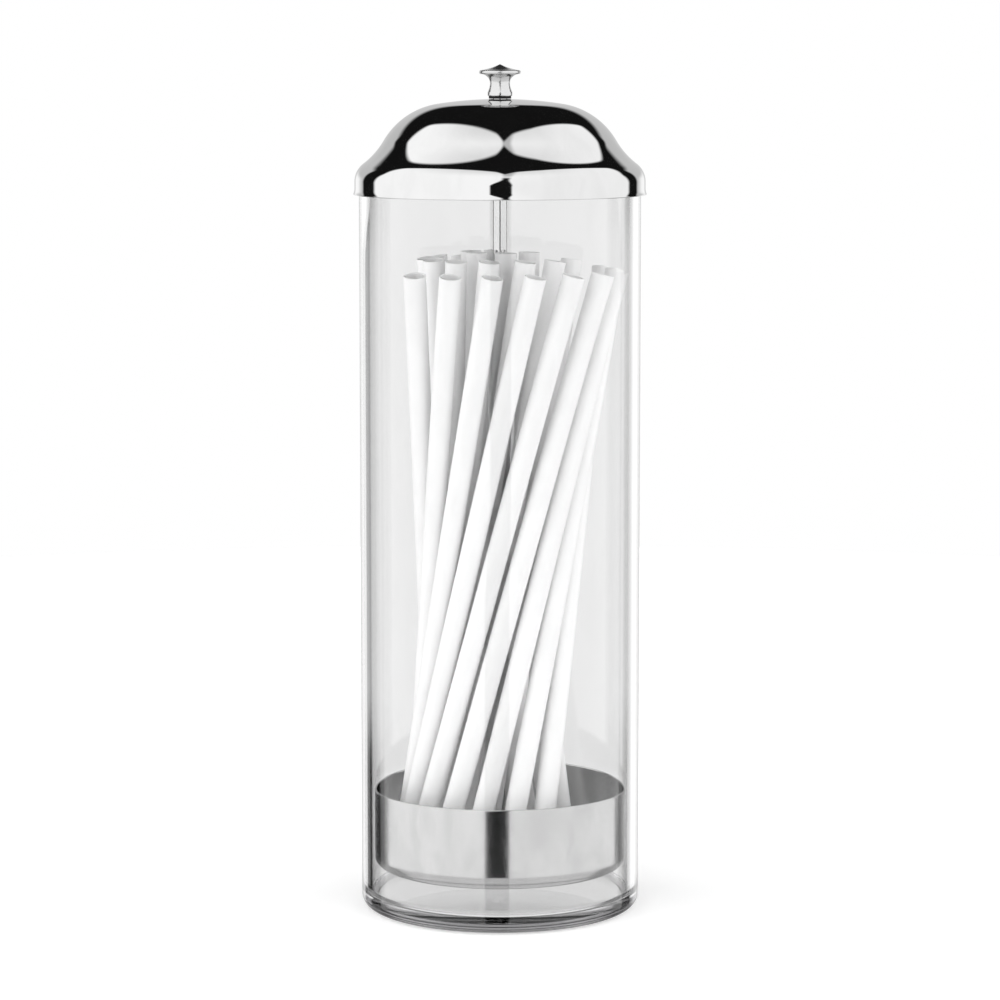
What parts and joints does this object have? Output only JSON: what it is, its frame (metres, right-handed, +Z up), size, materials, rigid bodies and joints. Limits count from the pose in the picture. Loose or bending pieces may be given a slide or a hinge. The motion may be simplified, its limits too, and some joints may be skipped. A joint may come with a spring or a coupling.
{
  "type": "straw dispenser",
  "caption": "Tall clear straw jar with a domed steel lid; pulling the knob lifts the lid, rod and straw tray together out of the jar.",
  "frame": {"origin": "on the jar's axis, at the underside of its foot", "axes": "+Z up along the jar's axis; -Y towards the viewer, +X to the viewer's right"},
  "size_m": [0.0998, 0.0998, 0.2901],
  "materials": {
    "clear_acrylic": "clear, polished",
    "polished_steel": "mirror polished",
    "turned_steel": "turned and polished",
    "rod_steel": "polished",
    "satin_steel": "satin",
    "bright_hardware": "bright",
    "black_rubber": "matt black",
    "white_straw": "white, slightly translucent"
  },
  "bodies": {
    "jar": {"jar": "clear_acrylic"},
    "lid": {"lid": "polished_steel"},
    "insert": {"knob": "turned_steel", "knob_washer": "black_rubber", "lid_nut": "bright_hardware", "lid_washer": "bright_hardware", "rod": "rod_steel", "straw_01": "white_straw", "straw_02": "white_straw", "straw_03": "white_straw", "straw_04": "white_straw", "straw_05": "white_straw", "straw_06": "white_straw", "straw_07": "white_straw", "straw_08": "white_straw", "straw_09": "white_straw", "straw_10": "white_straw", "straw_11": "white_straw", "straw_12": "white_straw", "straw_13": "white_straw", "straw_14": "white_straw", "straw_15": "white_straw", "straw_16": "white_straw", "straw_17": "white_straw", "straw_18": "white_straw", "straw_19": "white_straw", "straw_20": "white_straw", "straw_21": "white_straw", "straw_22": "white_straw", "straw_23": "white_straw", "straw_24": "white_straw", "tray": "satin_steel", "tray_lower_nut": "bright_hardware", "tray_lower_washer": "bright_hardware", "tray_upper_nut": "bright_hardware", "tray_upper_washer": "bright_hardware"}
  },
  "joints": [
    {"name": "lid_lift", "type": "slide", "parent": "jar", "child": "lid", "axis": [0, 0, 1], "range_m": [0, 0.25]},
    {"name": "insert_turn", "type": "hinge", "parent": "lid", "child": "insert", "pos_m": [0, 0, 0.2786], "axis": [0, 0, 1], "continuous": true}
  ]
}
